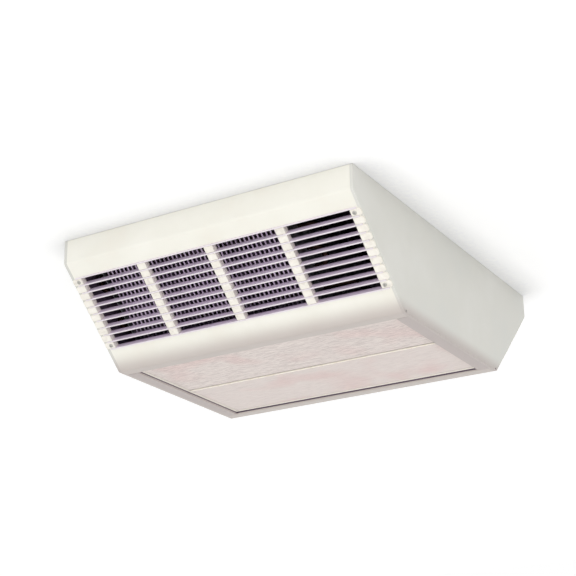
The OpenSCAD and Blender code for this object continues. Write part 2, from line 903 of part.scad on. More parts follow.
// Isolating valve on a riser, bored at its side for the lever's stem
module valve(x, y) {
    color("goldenrod")
        translate([x, y, valve_top - valve_l / 2])
            difference() {
                union() {
                    translate([0, 0, -valve_l / 2])
                        cylinder(r = valve_r, h = valve_l);
                    rod_x(stem_r + lever_t, 0, valve_r + stem_l);
                }
                rod_x(stem_r + run_fit, valve_r, valve_r + stem_l + cut);
            }
}
module flow_valve() {
    valve(flow_x, -riser_y);
}
module return_valve() {
    valve(return_x, riser_y);
}
// Lever of a valve, pointing down its pipe when open, with its stem
module lever(x, y) {
    face = valve_r + stem_l + clear;
    color("firebrick")
        translate([x, y, valve_top - valve_l / 2]) {
            rod_x(stem_r, valve_r + clear, face);
            rod_x(lever_w / 2, face, face + lever_t);
            span([face, -lever_w / 2, -lever_l + lever_w / 2], [face + lever_t, lever_w / 2, 0]);
            translate([0, 0, -lever_l + lever_w / 2])
                rod_x(lever_w / 2, face, face + lever_t);
        }
}
module flow_lever() {
    lever(flow_x, -riser_y);
}
module return_lever() {
    lever(return_x, riser_y);
}
// Places children at both risers
module at_risers() {
    for (p = [[flow_x, -riser_y], [return_x, riser_y]])
        translate([p[0], p[1], 0])
            children();
}
// Sockets above the valves that take the supply pipes from the ceiling
module pipe_sockets() {
    color("goldenrod")
        at_risers()
            difference() {
                translate([0, 0, valve_top])
                    cylinder(r = socket_r + socket_wall, h = -valve_top);
                translate([0, 0, -socket_l])
                    cylinder(r = socket_r, h = socket_l + cut);
            }
}
// Rubber rings between the sockets and the ceiling tray
module pipe_grommets() {
    color("black")
        at_risers()
            difference() {
                union() {
                    translate([0, 0, -sheet_t])
                        cylinder(r = socket_r + socket_wall + grommet_wall, h = sheet_t);
                    translate([0, 0, -sheet_t - grommet_t])
                        cylinder(r = socket_r + socket_wall + grommet_wall + grommet_lip, h = grommet_t);
                }
                translate([0, 0, -sheet_t - grommet_t - cut])
                    cylinder(r = socket_r + socket_wall + clear, h = sheet_t + grommet_t + 2 * cut);
            }
}
// Air vent on the highest pipe
module air_vent() {
    height = slope_pt(tube_places[0], tube_depth)[1];
    color("goldenrod")
        translate([return_x, vent_y, height])
            difference() {
                union() {
                    cylinder(r = vent_r, h = pipe_r + vent_l);
                    translate([0, 0, pipe_r + vent_l / 2])
                        cylinder(r = vent_r + ring_t, h = vent_l * vent_cap_share);
                }
                rod_y(pipe_r, -2 * vent_r, 2 * vent_r);
            }
}
// Thermostat clipped round the flow pipe, which holds the fans back until it is warm
module pipe_thermostat() {
    height = slope_pt(tube_places[tube_n - 1], tube_depth)[1];
    color("dimgray")
        translate([flow_x, stat_y, height])
            difference() {
                union() {
                    rod_y(pipe_r + clip_t, -clip_w / 2, clip_w / 2);
                    span([-stat_size[0] / 2, -stat_size[1] / 2, pipe_r],
                        [stat_size[0] / 2, stat_size[1] / 2, pipe_r + stat_size[2]]);
                }
                rod_y(pipe_r, -stat_size[1], stat_size[1]);
            }
}

// Places children at the two posts of the control box
module at_posts() {
    for (y = [cover_inset, box_l - cover_inset])
        translate([0, box_y + y, box_top - box_h / 2])
            children();
}
// Open control box on the partition, with two posts for its cover
module control_box() {
    color("lightgray")
        difference() {
            union() {
                difference() {
                    span([box_x, box_y, box_top - box_h], [box_x + box_d, box_y + box_l, box_top]);
                    span([box_x + box_wall, box_y + box_wall, box_top - box_h + box_wall],
                        [box_x + box_d + cut, box_y + box_l - box_wall, box_top - box_wall]);
                }
                at_posts()
                    rod_x(2 * cover_screw_r * post_share, box_x, box_x + box_d);
            }
            at_posts()
                rod_x(cover_screw_r / 2, box_x + box_d - 2 * cover_inset, box_x + box_d + cut);
        }
}
// Flat cover of the control box
module control_cover() {
    color("whitesmoke")
        difference() {
            span([box_x + box_d, box_y, box_top - box_h], [box_x + box_d + box_wall, box_y + box_l, box_top]);
            at_posts()
                rod_x(cover_screw_r / 2, box_x + box_d - cut, box_x + box_d + box_wall + cut);
        }
}
// Screws of the control box cover
module cover_screws() {
    color("gray")
        at_posts() {
            translate([box_x + box_d + box_wall, 0, 0])
                rotate([0, -90, 0])
                    pan_head(cover_screw_r, cover_screw_t);
            rod_x(cover_screw_r / 2, box_x + box_d - cover_inset, box_x + box_d + box_wall);
        }
}
// Terminal block on the back of the control box, with a slot for each wire
module terminal_block() {
    step = terminal_size[1] / terminal_n;
    color("white")
        translate([box_x + box_wall, box_y + (box_l - terminal_size[1]) / 2,
            box_top - box_h + box_wall + terminal_lift])
            difference() {
                cube(terminal_size);
                for (i = [0:terminal_n - 1])
                    translate([terminal_size[0] / 2, step * (i + 1 / 2) - terminal_slot / 2, terminal_slot])
                        cube([terminal_size[0], terminal_slot, terminal_size[2]]);
            }
}
// Capacitors that start and run the motors, against the back of the control box
module run_capacitors() {
    color("whitesmoke")
        for (m = [-1, 1])
            translate([box_x + box_wall + capacitor_r,
                box_y + box_l / 2 + m * (capacitor_l + capacitor_gap) / 2,
                box_top - box_wall - capacitor_r - terminal_slot])
                rod_y(capacitor_r, -capacitor_l / 2, capacitor_l / 2);
}
// Gland for the supply cable, in the ceiling tray
module cable_gland() {
    thread = gland_bore + gland_wall;
    color("dimgray")
        translate([gland_x, gland_y, 0])
            difference() {
                union() {
                    translate([0, 0, -sheet_t])
                        cylinder(r = thread, h = sheet_t);
                    translate([0, 0, -sheet_t - gland_flange_t])
                        cylinder(r = thread + gland_flange, h = gland_flange_t);
                    translate([0, 0, -gland_l])
                        cylinder(r = thread + ring_t, h = gland_l - sheet_t);
                }
                translate([0, 0, -gland_l - cut])
                    cylinder(r = gland_bore, h = gland_l + 2 * cut);
            }
}

// Hinged frame that carries both filters, with lips below them and a bar between them
module door_frame() {
    inner_x = door_x - sheet_t;
    color("ivory") {
        difference() {
            span([-door_x, door_front, door_z], [door_x, door_rear, door_z + door_wall]);
            span([-inner_x, door_front + sheet_t, door_z + sheet_t],
                [inner_x, door_rear - sheet_t, door_z + door_wall + cut]);
            for (y = [[door_front + sheet_t + door_lip, bar_mid - bar_w / 2],
                [bar_mid + bar_w / 2, door_rear - sheet_t - door_lip]])
                span([-inner_x + door_lip, y[0], door_z - cut],
                    [inner_x - door_lip, y[1], door_z + 2 * sheet_t]);
        }
        span([-inner_x, bar_mid - sheet_t / 2, door_z], [inner_x, bar_mid + sheet_t / 2, door_z + bar_h]);
    }
}
// One filter pad between y0 and y1
module filter_pad(y0, y1) {
    color("mistyrose")
        span([-door_x + sheet_t + clear, y0 + clear, door_z + sheet_t],
            [door_x - sheet_t - clear, y1 - clear, door_z + sheet_t + filter_t]);
}
module front_filter() {
    filter_pad(door_front + sheet_t, bar_mid - sheet_t / 2);
}
module rear_filter() {
    filter_pad(bar_mid + sheet_t / 2, door_rear - sheet_t);
}
// Welded wire grid that holds the filters down in their frame
module filter_grid() {
    x = door_x - sheet_t;
    y0 = door_front + sheet_t;
    y1 = door_rear - sheet_t;
    nx = ceil(2 * x / wire_pitch);
    ny = ceil((y1 - y0) / wire_pitch);
    color("silver")
        translate([0, 0, door_z + sheet_t + filter_t + wire_r]) {
            for (i = [1:ny - 1])
                translate([0, y0 + i * (y1 - y0) / ny, 0])
                    rod_x(wire_r, -x, x);
            for (i = [1:nx - 1])
                translate([-x + i * 2 * x / nx, 0, 2 * wire_r * weld_share])
                    rod_y(wire_r, y0, y1);
        }
}
// Studs on the door's end walls that turn in the side rails
module door_pivots() {
    color("silver")
        for (m = [0, 1])
            mirror([m, 0, 0])
                translate([0, pivot_y, pivot_z])
                    rod_x(pivot_r, door_x, door_x + pivot_l);
}
// Steel plates on the door that the magnets hold
module door_keepers() {
    color("silver")
        for (m = [0, 1])
            mirror([m, 0, 0])
                translate([door_x - keeper_size[0], keeper_y, door_z + door_wall])
                    cube(keeper_size);
}
// Magnets over the keepers, each on a leg fixed to the outside of its side rail
module magnet_catches() {
    low = door_z + door_wall + keeper_size[2] + clear;
    out = opening_x + sheet_t;
    color("darkslategray")
        for (m = [0, 1])
            mirror([m, 0, 0]) {
                span([door_x - keeper_size[0], keeper_y, low],
                    [out + support_t, keeper_y + keeper_size[1], low + magnet_t]);
                span([out, keeper_y, low - magnet_leg], [out + support_t, keeper_y + keeper_size[1], low]);
            }
}

ceiling_tray();
front_fascia();
rear_fascia();
left_end_panel();
right_end_panel();
side_rails();
corner_brackets();
front_grille_blades();
front_grille_spacers();
front_grille_screws();
rear_grille_blades();
rear_grille_spacers();
rear_grille_screws();
front_coil_fins();
front_coil_tubes();
rear_coil_fins();
rear_coil_tubes();
coil_supports();
partition();
fan_deck();
inlet_rings();
left_fan_wheel();
right_fan_wheel();
left_rotor();
right_rotor();
fan_stators();
fan_hangers();
motor_screws();
flow_pipe();
return_pipe();
flow_valve();
return_valve();
flow_lever();
return_lever();
pipe_sockets();
pipe_grommets();
air_vent();
pipe_thermostat();
control_box();
control_cover();
cover_screws();
terminal_block();
run_capacitors();
cable_gland();
door_frame();
front_filter();
rear_filter();
filter_grid();
door_pivots();
door_keepers();
magnet_catches();
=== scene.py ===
import json
import math

import bmesh
import bpy
from mathutils import Matrix, Vector, noise


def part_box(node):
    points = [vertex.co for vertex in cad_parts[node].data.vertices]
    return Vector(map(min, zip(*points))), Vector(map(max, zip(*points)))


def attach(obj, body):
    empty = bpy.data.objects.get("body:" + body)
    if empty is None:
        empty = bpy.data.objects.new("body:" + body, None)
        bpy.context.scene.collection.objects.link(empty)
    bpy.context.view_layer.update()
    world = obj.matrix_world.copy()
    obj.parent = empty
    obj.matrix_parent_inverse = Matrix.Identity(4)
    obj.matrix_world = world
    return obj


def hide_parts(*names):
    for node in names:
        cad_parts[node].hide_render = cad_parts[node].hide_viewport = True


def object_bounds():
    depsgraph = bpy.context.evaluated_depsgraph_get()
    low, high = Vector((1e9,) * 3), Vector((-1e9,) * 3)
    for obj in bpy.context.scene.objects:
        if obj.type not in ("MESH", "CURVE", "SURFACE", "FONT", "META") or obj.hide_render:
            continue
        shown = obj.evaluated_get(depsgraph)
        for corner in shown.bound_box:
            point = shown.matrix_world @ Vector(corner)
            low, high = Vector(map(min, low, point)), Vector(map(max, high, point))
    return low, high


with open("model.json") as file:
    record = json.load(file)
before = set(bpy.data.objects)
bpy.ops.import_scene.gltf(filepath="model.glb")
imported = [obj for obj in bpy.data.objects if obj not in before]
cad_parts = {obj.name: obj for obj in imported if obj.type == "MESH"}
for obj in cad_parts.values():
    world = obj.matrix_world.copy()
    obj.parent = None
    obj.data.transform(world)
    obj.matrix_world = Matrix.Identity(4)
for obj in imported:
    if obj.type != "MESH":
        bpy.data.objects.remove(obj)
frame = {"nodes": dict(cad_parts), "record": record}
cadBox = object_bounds()
print("heater loaded:", len(frame["nodes"]), "nodes")


# Helpers

def hexToLinear(hexText):
    # sRGB hex to the linear values that the shaders want
    parts = [int(hexText[i:i + 2], 16) / 255 for i in (1, 3, 5)]
    return [c / 12.92 if c <= 0.04045 else ((c + 0.055) / 1.055) ** 2.4 for c in parts] + [1.0]


def perMm(sizeMm):
    # pattern scale for a feature of this size, with coordinates in metres
    return 1000.0 / sizeMm


def addNode(tree, kind, settings=None, links=None):
    # one node with its settings and links: a link is socket: (node, output), and stops are the
    # (place, hex) pairs of a colour ramp
    node = tree.nodes.new(kind)
    for name, value in (settings or {}).items():
        if name == "stops":
            marks = node.color_ramp.elements
            while len(marks) < len(value):
                marks.new(0.5)
            for mark, (place, hexText) in zip(marks, value):
                mark.position = place
                mark.color = hexToLinear(hexText)
        elif isinstance(name, int) or name in node.inputs:
            node.inputs[name].default_value = value
        else:
            setattr(node, name, value)
    for socket, (source, output) in (links or {}).items():
        tree.links.new(source.outputs[output], node.inputs[socket])
    return node


def startMaterial(name, shader):
    # a principled shader with its constant settings written on its own sockets
    material = bpy.data.materials.new(name)
    material.use_nodes = True
    tree = material.node_tree
    surface = tree.nodes["Principled BSDF"]
    for socket, value in shader.items():
        surface.inputs[socket].default_value = value
    place = addNode(tree, "ShaderNodeTexCoord")
    return material, tree, surface, place


def link(tree, source, output, target, socket):
    tree.links.new(source.outputs[output], target.inputs[socket])


# Materials

# what each kind of finish shares: corner rounding, depth and strength of its texture, and how far
# the roughness drifts from its darkest patches to its lightest
finishBasics = {
    "coat": {"cornerMm": 1.2, "depthMm": 0.06, "bump": 0.35, "drift": (-0.05, 0.07)},
    "zinc": {"depthMm": 0.08, "bump": 0.25, "drift": (-0.1, 0.14)},
    "blade": {"cornerMm": 0.6, "depthMm": 0.05, "bump": 0.3},
    "plastic": {"cornerMm": 0.8, "depthMm": 0.05, "bump": 0.3, "drift": (-0.05, 0.1)},
    "metal": {"cornerMm": 0.5, "depthMm": 0.05, "bump": 0.3, "drift": (0.12, -0.08)},
}
noiseSpan = {"From Min": 0.3, "From Max": 0.7}    # most values of a noise texture fall in here

# painted shade: a dark violet-grey liner colour is painted on the shell's inward faces to darken the inside.
# It ends footMm above the casing's lowest edge, so the rims round the door keep their coat and the recess
# walls just above show as a thin painted shadow line
paintedShadeLiner = {"shadeFelt": "#5A4A5C", "shadeNap": "#705D72", "shadeNapMm": 3, "footMm": 3.8}


def inwardShadeMask(tree, place):
    # 1 on the faces of the shell that look inwards and stand above the foot, where painted shade darkens the
    # inside
    middle = (cadBox[0] + cadBox[1]) / 2
    foot = cadBox[0].z + paintedShadeLiner["footMm"] / 1000
    shape = addNode(tree, "ShaderNodeNewGeometry")
    fromMiddle = addNode(tree, "ShaderNodeVectorMath", {"operation": "SUBTRACT", 1: middle},
                         {0: (place, "Object")})
    facing = addNode(tree, "ShaderNodeVectorMath", {"operation": "DOT_PRODUCT"},
                     {0: (fromMiddle, "Vector"), 1: (shape, "True Normal")})
    inward = addNode(tree, "ShaderNodeMath", {"operation": "LESS_THAN", 1: 0.0}, {0: (facing, "Value")})
    split = addNode(tree, "ShaderNodeSeparateXYZ", links={"Vector": (place, "Object")})
    above = addNode(tree, "ShaderNodeMath", {"operation": "GREATER_THAN", 1: foot}, {0: (split, "Z")})
    return addNode(tree, "ShaderNodeMath", {"operation": "MULTIPLY"},
                   {0: (inward, "Value"), 1: (above, "Value")})


# painted shade at the lower bends: heights above the casing's lowest edge, and the largest share of the grey
# in the colour
bendShade = {"tone": "#B9ADA9", "startsMm": 38, "fullMm": -2, "most": 0.8}


def bendShaded(tree, place, coat):
    # Painted shade: the coat turns greyer towards the lower bends, and fades out up the slope
    low = cadBox[0].z
    split = addNode(tree, "ShaderNodeSeparateXYZ", links={"Vector": (place, "Object")})
    amount = addNode(tree, "ShaderNodeMapRange",
                     {"interpolation_type": "SMOOTHSTEP", "From Min": low + bendShade["startsMm"] / 1000,
                      "From Max": low + bendShade["fullMm"] / 1000, "To Max": bendShade["most"]},
                     {"Value": (split, "Z")})
    return addNode(tree, "ShaderNodeMix", {"data_type": "RGBA", "B": hexToLinear(bendShade["tone"])},
                   {"Factor": (amount, "Result"), "A": (coat, "Color")})


def paintedShadeLining(tree, place, coat):
    # Painted shade: a mottled violet-grey, drawn like needled felt, over the coat's own colour on the inner
    # faces
    shadeNap = addNode(tree, "ShaderNodeTexNoise", {"Scale": perMm(paintedShadeLiner["shadeNapMm"]), "Detail": 3.0},
                  {"Vector": (place, "Object")})
    shadeFelt = addNode(tree, "ShaderNodeValToRGB",
                   {"stops": [(0.35, paintedShadeLiner["shadeFelt"]), (0.65, paintedShadeLiner["shadeNap"])]},
                   {"Fac": (shadeNap, "Fac")})
    return addNode(tree, "ShaderNodeMix", {"data_type": "RGBA"},
                   {"Factor": (inwardShadeMask(tree, place), "Value"), "A": coat, "B": (shadeFelt, "Color")})


ivoryCoat = {
    "light": "#F6F4EB", "mid": "#F3F1E7", "warm": "#F1EDE2",
    "roughness": 0.42, "grainMm": 3.5, "cloudMm": 140, "paintedShadeLining": True,
}


def powderCoat(name, look):
    # Polyester powder coat on steel sheet: satin, with a faint orange peel. The real peel is about
    # 1 mm across, drawn coarser so that it shows, and the colour drifts a little over a hand's width.
    base = finishBasics["coat"]
    material, tree, surface, place = startMaterial(name, {"Roughness": look["roughness"], "IOR": 1.5})
    cloud = addNode(tree, "ShaderNodeTexNoise",
                    {"Scale": perMm(look["cloudMm"]), "Detail": 3.0, "Roughness": 0.55},
                    {"Vector": (place, "Object")})
    ramp = addNode(tree, "ShaderNodeValToRGB",
                   {"stops": [(0.3, look["warm"]), (0.5, look["mid"]), (0.7, look["light"])]},
                   {"Fac": (cloud, "Fac")})
    edge = addNode(tree, "ShaderNodeBevel", {"Radius": base["cornerMm"] / 1000, "samples": 4})
    peel = addNode(tree, "ShaderNodeTexNoise",
                   {"Scale": perMm(look["grainMm"]), "Detail": 2.0, "Roughness": 0.5},
                   {"Vector": (place, "Object")})
    bump = addNode(tree, "ShaderNodeBump", {"Strength": base["bump"], "Distance": base["depthMm"] / 1000},
                   {"Height": (peel, "Fac"), "Normal": (edge, "Normal")})
    rough = addNode(tree, "ShaderNodeMapRange",
                    {**noiseSpan, "To Min": look["roughness"] + base["drift"][0],
                     "To Max": look["roughness"] + base["drift"][1]}, {"Value": (cloud, "Fac")})
    # painted shade on the inward faces and at the lower bends
    if look.get("paintedShadeLining"):
        coat = paintedShadeLining(tree, place, (bendShaded(tree, place, ramp), "Result"))
        link(tree, coat, "Result", surface, "Base Color")
    else:
        link(tree, ramp, "Color", surface, "Base Color")
    link(tree, rough, "Result", surface, "Roughness")
    link(tree, bump, "Normal", surface, "Normal")
    return material


# the end panels' coat: a light grey paint, drawn darker and cooler than the ivory so that it also carries
# painted shade on the end panels
greyCoat = {
    "light": "#DFDED8", "mid": "#DBDAD3", "warm": "#D8D8D2",
    "roughness": 0.46, "grainMm": 3.5, "cloudMm": 180, "paintedShadeLining": True,
}
boxCoat = {
    "light": "#C9CBC8", "mid": "#C2C4C2", "warm": "#BCBEBD",
    "roughness": 0.48, "grainMm": 3, "cloudMm": 60,
}

zincSheet = {
    "dark": "#A5A8AB", "mid": "#B2B5B8", "light": "#C0C3C5",
    "spangleMm": 10, "wanderMm": 18, "wander": 0.012,
    "streakMm": 2.5, "streak": 0.04, "streakShare": 0.35, "roughness": 0.42,
}


def galvanisedSteel(name, look, shadeLinedInside=False):
    # Hot-dip galvanised sheet: metallic grey crystals about a thumbnail wide, each with its own tone
    # and gloss, and a faint rolling streak across them.
    base = finishBasics["zinc"]
    material, tree, surface, place = startMaterial(name, {"Metallic": 1.0, "Roughness": look["roughness"]})
    warp = addNode(tree, "ShaderNodeTexNoise", {"Scale": perMm(look["wanderMm"]), "Detail": 2.0},
                   {"Vector": (place, "Object")})
    bent = addNode(tree, "ShaderNodeMix", {"data_type": "VECTOR", "Factor": look["wander"]},
                   {"A": (place, "Object"), "B": (warp, "Color")})
    spangle = addNode(tree, "ShaderNodeTexVoronoi", {"feature": "F1", "Scale": perMm(look["spangleMm"])},
                      {"Vector": (bent, "Result")})
    tone = addNode(tree, "ShaderNodeSeparateColor", links={"Color": (spangle, "Color")})
    along = addNode(tree, "ShaderNodeMapping", {"Scale": (look["streak"], 1.0, 1.0)},
                    {"Vector": (place, "Object")})
    streak = addNode(tree, "ShaderNodeTexNoise",
                     {"Scale": perMm(look["streakMm"]), "Detail": 2.0, "Roughness": 0.6},
                     {"Vector": (along, "Vector")})
    both = addNode(tree, "ShaderNodeMath", {"operation": "MULTIPLY_ADD", 1: look["streakShare"]},
                   {0: (streak, "Fac"), 2: (tone, "Red")})
    ramp = addNode(tree, "ShaderNodeValToRGB",
                   {"stops": [(0.1, look["dark"]), (0.6, look["mid"]), (1.0, look["light"])]},
                   {"Fac": (both, "Value")})
    rough = addNode(tree, "ShaderNodeMapRange",
                    {"To Min": look["roughness"] + base["drift"][0],
                     "To Max": look["roughness"] + base["drift"][1]}, {"Value": (tone, "Green")})
    bump = addNode(tree, "ShaderNodeBump", {"Strength": base["bump"], "Distance": base["depthMm"] / 1000},
                   {"Height": (both, "Value")})
    # painted shade on the inward faces
    if shadeLinedInside:
        link(tree, paintedShadeLining(tree, place, (ramp, "Color")), "Result", surface, "Base Color")
    else:
        link(tree, ramp, "Color", surface, "Base Color")
    link(tree, rough, "Result", surface, "Roughness")
    link(tree, bump, "Normal", surface, "Normal")
    return material


bladeCoat = {
    "deepShade": "#E6D2EA", "body": "#F2E4F5", "rim": "#F0E9EE",
    "slopeStart": (0.485, -0.06), "inward": (0.6844, 0.7291),    # y and z of the slope's top and normal
    "noseMm": -3, "backMm": 15, "drift": 0.12,
    "roughness": 0.38, "dieLineMm": 0.9, "streak": 0.01, "cloudMm": 90,
}


def anodisedBlade(name, look):
    # Anodised aluminium extrusion: fine die lines run along the blade, and it looks like satin paint more
    # than bare metal.
    # Its lilac-grey tint is painted shade, the colour cast seen on the shaded blades, and its very pale
    # tones are painted light.
    base = finishBasics["blade"]
    material, tree, surface, place = startMaterial(
        name, {"Roughness": look["roughness"], "Metallic": 0.15})
    along = addNode(tree, "ShaderNodeMapping", {"Scale": (look["streak"], 1.0, 1.0)},
                    {"Vector": (place, "Object")})
    lines = addNode(tree, "ShaderNodeTexNoise",
                    {"Scale": perMm(look["dieLineMm"]), "Detail": 3.0, "Roughness": 0.6},
                    {"Vector": (along, "Vector")})
    cloud = addNode(tree, "ShaderNodeTexNoise", {"Scale": perMm(look["cloudMm"]), "Detail": 2.0},
                    {"Vector": (place, "Object")})
    # depth behind the slope: painted highlight, palest at the nose, and painted shade deepening towards the
    # back
    split = addNode(tree, "ShaderNodeSeparateXYZ", links={"Vector": (place, "Object")})
    away = addNode(tree, "ShaderNodeMath", {"operation": "ABSOLUTE"}, {0: (split, "Y")})
    start = look["slopeStart"][0] * look["inward"][0] - look["slopeStart"][1] * look["inward"][1]
    fall = addNode(tree, "ShaderNodeMath", {"operation": "MULTIPLY_ADD", 1: -look["inward"][0], 2: start},
                   {0: (away, "Value")})
    depth = addNode(tree, "ShaderNodeMath", {"operation": "MULTIPLY_ADD", 1: look["inward"][1]},
                    {0: (split, "Z"), 2: (fall, "Value")})
    depthShade = addNode(tree, "ShaderNodeMapRange",
                   {"From Min": look["noseMm"] / 1000, "From Max": look["backMm"] / 1000},
                   {"Value": (depth, "Value")})
    drift = addNode(tree, "ShaderNodeMath",
                    {"operation": "MULTIPLY_ADD", 1: look["drift"], 2: -look["drift"] / 2},
                    {0: (cloud, "Fac")})
    both = addNode(tree, "ShaderNodeMath", {"operation": "ADD"},
                   {0: (depthShade, "Result"), 1: (drift, "Value")})
    ramp = addNode(tree, "ShaderNodeValToRGB",
                   {"stops": [(0.04, look["rim"]), (0.12, look["body"]),
                              (0.5, look["body"]), (1.0, look["deepShade"])]},
                   {"Fac": (both, "Value")})
    edge = addNode(tree, "ShaderNodeBevel", {"Radius": base["cornerMm"] / 1000, "samples": 4})
    bump = addNode(tree, "ShaderNodeBump", {"Strength": base["bump"], "Distance": base["depthMm"] / 1000},
                   {"Height": (lines, "Fac"), "Normal": (edge, "Normal")})
    link(tree, ramp, "Color", surface, "Base Color")
    link(tree, bump, "Normal", surface, "Normal")
    return material


spacerLook = {
    "dark": "#EAE4DA", "mid": "#F3EEE4", "light": "#F8F4EC",
    "roughness": 0.3, "flowMm": 22, "grainMm": 1.6,
}


def mouldedPlastic(name, look):
    # Injection-moulded ABS: semi-gloss with soft flow marks, a fine eroded grain and eased corners.
    # Nylon, rubber, vinyl and thick enamel differ in gloss and in the size of their marks.
    base = finishBasics["plastic"]
    material, tree, surface, place = startMaterial(name, {"Roughness": look["roughness"], "IOR": 1.53})
    flow = addNode(tree, "ShaderNodeTexNoise",
                   {"Scale": perMm(look["flowMm"]), "Detail": 2.0, "Distortion": 0.6},
                   {"Vector": (place, "Object")})
    grain = addNode(tree, "ShaderNodeTexNoise", {"Scale": perMm(look["grainMm"]), "Detail": 2.0},
                    {"Vector": (place, "Object")})
    ramp = addNode(tree, "ShaderNodeValToRGB",
                   {"stops": [(0.3, look["dark"]), (0.5, look["mid"]), (0.7, look["light"])]},
                   {"Fac": (flow, "Fac")})
    rough = addNode(tree, "ShaderNodeMapRange",
                    {**noiseSpan, "To Min": look["roughness"] + base["drift"][0],
                     "To Max": look["roughness"] + base["drift"][1]}, {"Value": (flow, "Fac")})
    edge = addNode(tree, "ShaderNodeBevel", {"Radius": base["cornerMm"] / 1000, "samples": 4})
    bump = addNode(tree, "ShaderNodeBump", {"Strength": base["bump"], "Distance": base["depthMm"] / 1000},
                   {"Height": (grain, "Fac"), "Normal": (edge, "Normal")})
    link(tree, ramp, "Color", surface, "Base Color")
    link(tree, rough, "Result", surface, "Roughness")
    link(tree, bump, "Normal", surface, "Normal")
    return material


terminalLook = {
    "dark": "#3A3D40", "mid": "#45484B", "light": "#505457",
    "roughness": 0.5, "flowMm": 15, "grainMm": 1.2,
}
nylonLook = {
    "dark": "#DEDDD6", "mid": "#E6E5DF", "light": "#EDECE7",
    "roughness": 0.42, "flowMm": 15, "grainMm": 1.2,
}

brushedMetals = {
    "nickelScrew": {"dark": "#A9A7A2", "mid": "#C4C2BD", "light": "#DAD8D3",
                    "roughness": 0.3, "grainMm": 0.8, "cloudMm": 6},
    "wireZinc": {"dark": "#A5A8AB", "mid": "#BBBEC0", "light": "#D0D2D3",
                 "roughness": 0.36, "grainMm": 1.0, "cloudMm": 12},
    # painted shade: the fins' lilac tint is the colour cast seen on them in the shaded slots, over a plain
    # aluminium grey
    "finAluminium": {"dark": "#AB9DB2", "mid": "#C8B9CE", "light": "#E0D3E5",
                     "roughness": 0.45, "grainMm": 1.2, "cloudMm": 30},
    # painted shade: copper and brass are drawn near-black so the pipes and valves deep in the casing read
    # dark
    "copperTube": {"dark": "#241A18", "mid": "#33241F", "light": "#463229",
                   "roughness": 0.5, "grainMm": 1.0, "cloudMm": 22},
    "valveBrass": {"dark": "#3F3422", "mid": "#5A4A30", "light": "#76623F",
                   "roughness": 0.34, "grainMm": 1.0, "cloudMm": 14},
    "motorAlloy": {"dark": "#75787A", "mid": "#8F9293", "light": "#A6A9AA",
                   "roughness": 0.5, "grainMm": 1.4, "cloudMm": 18},
}


def metalFinish(name, look):
    # Bare or plated metal: cloudy tarnish over a fine tooled grain, glossier in its lighter patches.
    base = finishBasics["metal"]
    material, tree, surface, place = startMaterial(name, {"Metallic": 1.0, "Roughness": look["roughness"]})
    cloud = addNode(tree, "ShaderNodeTexNoise",
                    {"Scale": perMm(look["cloudMm"]), "Detail": 4.0, "Roughness": 0.6},
                    {"Vector": (place, "Object")})
    grain = addNode(tree, "ShaderNodeTexNoise", {"Scale": perMm(look["grainMm"]), "Detail": 2.0},
                    {"Vector": (place, "Object")})
    ramp = addNode(tree, "ShaderNodeValToRGB",
                   {"stops": [(0.28, look["dark"]), (0.5, look["mid"]), (0.74, look["light"])]},
                   {"Fac": (cloud, "Fac")})
    rough = addNode(tree, "ShaderNodeMapRange",
                    {**noiseSpan, "To Min": look["roughness"] + base["drift"][0],
                     "To Max": look["roughness"] + base["drift"][1]}, {"Value": (cloud, "Fac")})
    edge = addNode(tree, "ShaderNodeBevel", {"Radius": base["cornerMm"] / 1000, "samples": 4})
    bump = addNode(tree, "ShaderNodeBump", {"Strength": base["bump"], "Distance": base["depthMm"] / 1000},
                   {"Height": (grain, "Fac"), "Normal": (edge, "Normal")})
    link(tree, ramp, "Color", surface, "Base Color")
    link(tree, rough, "Result", surface, "Roughness")
    link(tree, bump, "Normal", surface, "Normal")
    return material


wheelLook = {
    "dark": "#2C2E31", "mid": "#36393C", "light": "#43464A",
    "roughness": 0.45, "flowMm": 30, "grainMm": 1.8,
}
# painted shade: the lever is drawn near-black so it reads dark inside the casing
leverLook = {
    "dark": "#2A2024", "mid": "#352A2E", "light": "#43363B",
    "roughness": 0.35, "flowMm": 8, "grainMm": 1.0,
}
rubberLook = {
    "dark": "#161617", "mid": "#1E1E1F", "light": "#282829",
    "roughness": 0.78, "flowMm": 10, "grainMm": 0.9,
}

filterLook = {
    "shade": "#C9BCB7", "body": "#DFD3CE", "light": "#ECE2DC", "blush": "#F8DADC",
    "fibreMm": 2.4, "tuftMm": 5, "tuftShare": 0.35, "pileMm": 0.9, "streak": 0.1,
    "swayMm": 55, "sway": (0.004, 0.02, 0.0),                          # the fibres bend this far
    "shadeSpan": 0.1, "lightSpan": 0.12,                               # either side of the body tone
    "blushMm": 120, "blushSpan": (0.5, 0.72), "blushMost": 0.5,
}


